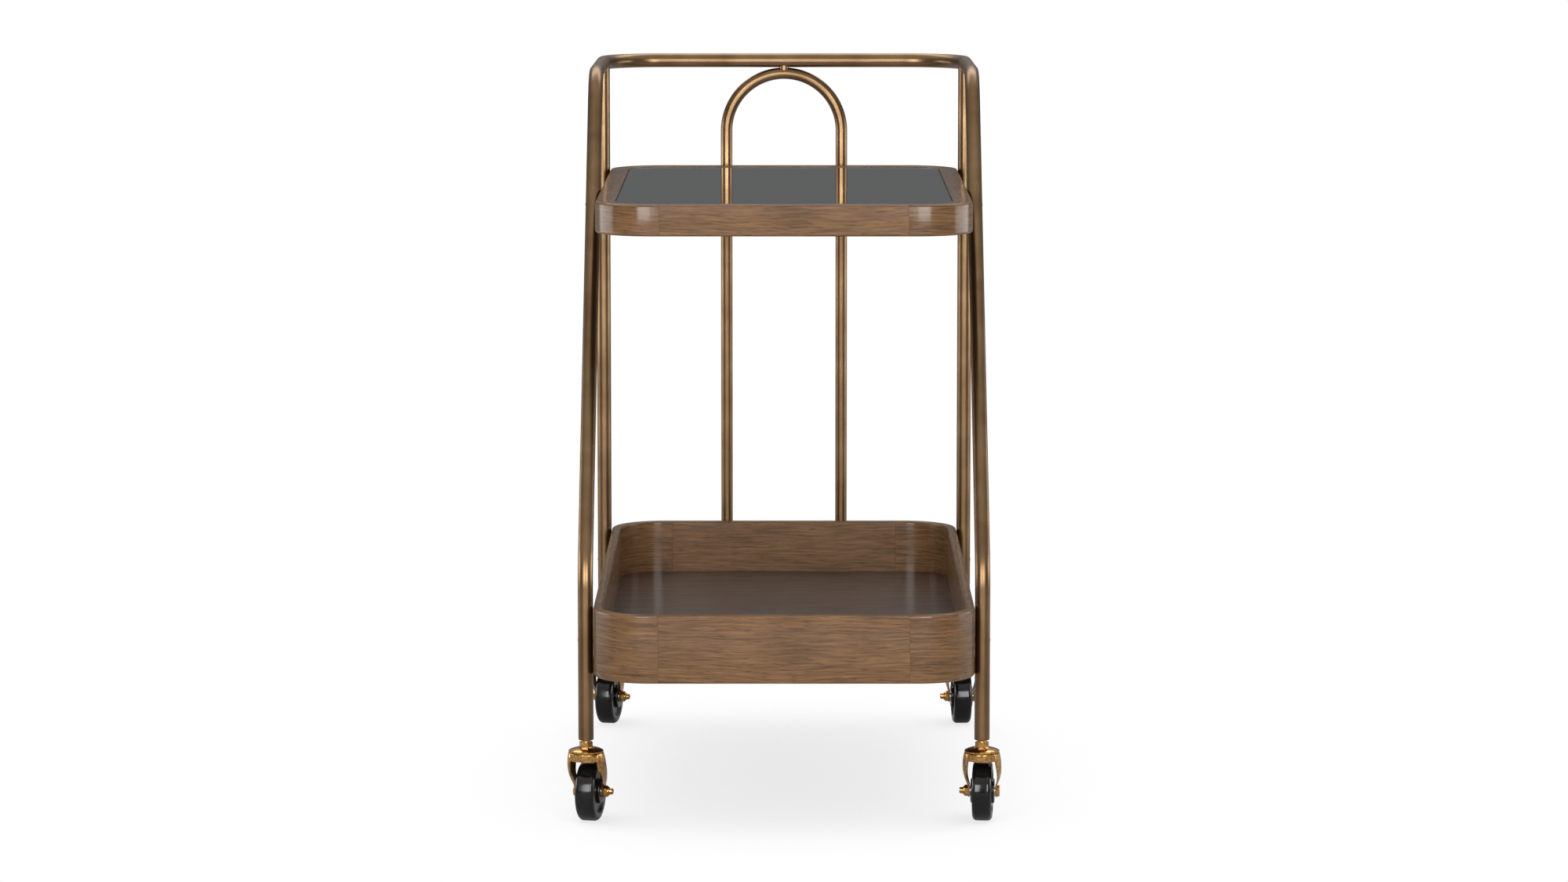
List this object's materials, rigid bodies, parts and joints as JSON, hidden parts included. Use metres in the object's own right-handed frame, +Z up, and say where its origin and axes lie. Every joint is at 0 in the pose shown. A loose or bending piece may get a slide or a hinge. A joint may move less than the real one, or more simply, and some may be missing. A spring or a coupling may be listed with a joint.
{
  "type": "bar cart",
  "caption": "Wheeled bar cart: bent brass tube frame with a push bar, glass-topped upper tray, deep lower tray and swivel casters.",
  "frame": {"origin": "on the floor, midway between the lower tray's front face and the back of the push bar, on the centre plane", "axes": "+Z up, +Y towards the push bar, +X to the right when facing along +Y"},
  "size_m": [0.5424, 0.879, 0.9244],
  "materials": {
    "antique_brass_tube": "aged, satin",
    "polished_caster_brass": "polished",
    "walnut_frame": "satin lacquer",
    "walnut_panel": "satin lacquer",
    "grey_mirror_glass": "grey tinted mirror",
    "black_wheel": "gloss",
    "zinc_hardware": "zinc plated"
  },
  "bodies": {
    "cart": {"main_tube_frame": "antique_brass_tube", "rear_post_left": "antique_brass_tube", "rear_post_right": "antique_brass_tube", "arch_tube": "antique_brass_tube", "arch_weld": "antique_brass_tube", "arch_spacers": "antique_brass_tube", "arch_end_caps": "antique_brass_tube", "leg_plugs": "antique_brass_tube", "upper_tray_corner_front_left": "walnut_frame", "upper_tray_rail_front": "walnut_frame", "upper_tray_corner_front_right": "walnut_frame", "upper_tray_rail_left": "walnut_frame", "upper_tray_rail_right": "walnut_frame", "upper_tray_corner_rear_left": "walnut_frame", "upper_tray_rail_rear": "walnut_frame", "upper_tray_corner_rear_right": "walnut_frame", "lower_tray_corner_front_left": "walnut_frame", "lower_tray_wall_front": "walnut_frame", "lower_tray_corner_front_right": "walnut_frame", "lower_tray_wall_left": "walnut_frame", "lower_tray_wall_right": "walnut_frame", "lower_tray_corner_rear_left": "walnut_frame", "lower_tray_wall_rear": "walnut_frame", "lower_tray_corner_rear_right": "walnut_frame", "upper_deck_panel": "walnut_panel", "lower_floor_panel": "walnut_panel", "glass_top": "grey_mirror_glass", "tray_bolts": "antique_brass_tube", "tray_inserts": "zinc_hardware", "swivel_balls": "zinc_hardware", "front_left_caster_stem": "polished_caster_brass", "front_left_caster_cap": "polished_caster_brass", "front_right_caster_stem": "polished_caster_brass", "front_right_caster_cap": "polished_caster_brass", "rear_left_caster_stem": "polished_caster_brass", "rear_left_caster_cap": "polished_caster_brass", "rear_right_caster_stem": "polished_caster_brass", "rear_right_caster_cap": "polished_caster_brass"},
    "front_left_swivel": {"front_left_caster_fork": "polished_caster_brass", "front_left_axle_bolt": "polished_caster_brass", "front_left_axle_nut": "polished_caster_brass"},
    "front_left_roller": {"front_left_wheel": "black_wheel", "front_left_wheel_bush": "zinc_hardware"},
    "front_right_swivel": {"front_right_caster_fork": "polished_caster_brass", "front_right_axle_bolt": "polished_caster_brass", "front_right_axle_nut": "polished_caster_brass"},
    "front_right_roller": {"front_right_wheel": "black_wheel", "front_right_wheel_bush": "zinc_hardware"},
    "rear_left_swivel": {"rear_left_caster_fork": "polished_caster_brass", "rear_left_axle_bolt": "polished_caster_brass", "rear_left_axle_nut": "polished_caster_brass"},
    "rear_left_roller": {"rear_left_wheel": "black_wheel", "rear_left_wheel_bush": "zinc_hardware"},
    "rear_right_swivel": {"rear_right_caster_fork": "polished_caster_brass", "rear_right_axle_bolt": "polished_caster_brass", "rear_right_axle_nut": "polished_caster_brass"},
    "rear_right_roller": {"rear_right_wheel": "black_wheel", "rear_right_wheel_bush": "zinc_hardware"}
  },
  "joints": [
    {"name": "front_left_swivel_turn", "type": "hinge", "parent": "cart", "child": "front_left_swivel", "pos_m": [-0.247, -0.36001, 0.09], "axis": [0, 0, 1], "continuous": true},
    {"name": "front_left_wheel_roll", "type": "hinge", "parent": "front_left_swivel", "child": "front_left_roller", "pos_m": [-0.24243, -0.33849, 0.0375], "axis": [0.9781, -0.2079, 0], "continuous": true},
    {"name": "front_right_swivel_turn", "type": "hinge", "parent": "cart", "child": "front_right_swivel", "pos_m": [0.247, -0.36001, 0.09], "axis": [0, 0, 1], "continuous": true},
    {"name": "front_right_wheel_roll", "type": "hinge", "parent": "front_right_swivel", "child": "front_right_roller", "pos_m": [0.24892, -0.3381, 0.0375], "axis": [0.9962, -0.0872, 0], "continuous": true},
    {"name": "rear_left_swivel_turn", "type": "hinge", "parent": "cart", "child": "rear_left_swivel", "pos_m": [-0.247, 0.33999, 0.09], "axis": [0, 0, 1], "continuous": true},
    {"name": "rear_left_wheel_roll", "type": "hinge", "parent": "rear_left_swivel", "child": "rear_left_roller", "pos_m": [-0.24243, 0.36151, 0.0375], "axis": [0.9781, -0.2079, 0], "continuous": true},
    {"name": "rear_right_swivel_turn", "type": "hinge", "parent": "cart", "child": "rear_right_swivel", "pos_m": [0.247, 0.33999, 0.09], "axis": [0, 0, 1], "continuous": true},
    {"name": "rear_right_wheel_roll", "type": "hinge", "parent": "rear_right_swivel", "child": "rear_right_roller", "pos_m": [0.24585, 0.36196, 0.0375], "axis": [0.9986, 0.0523, 0], "continuous": true}
  ]
}
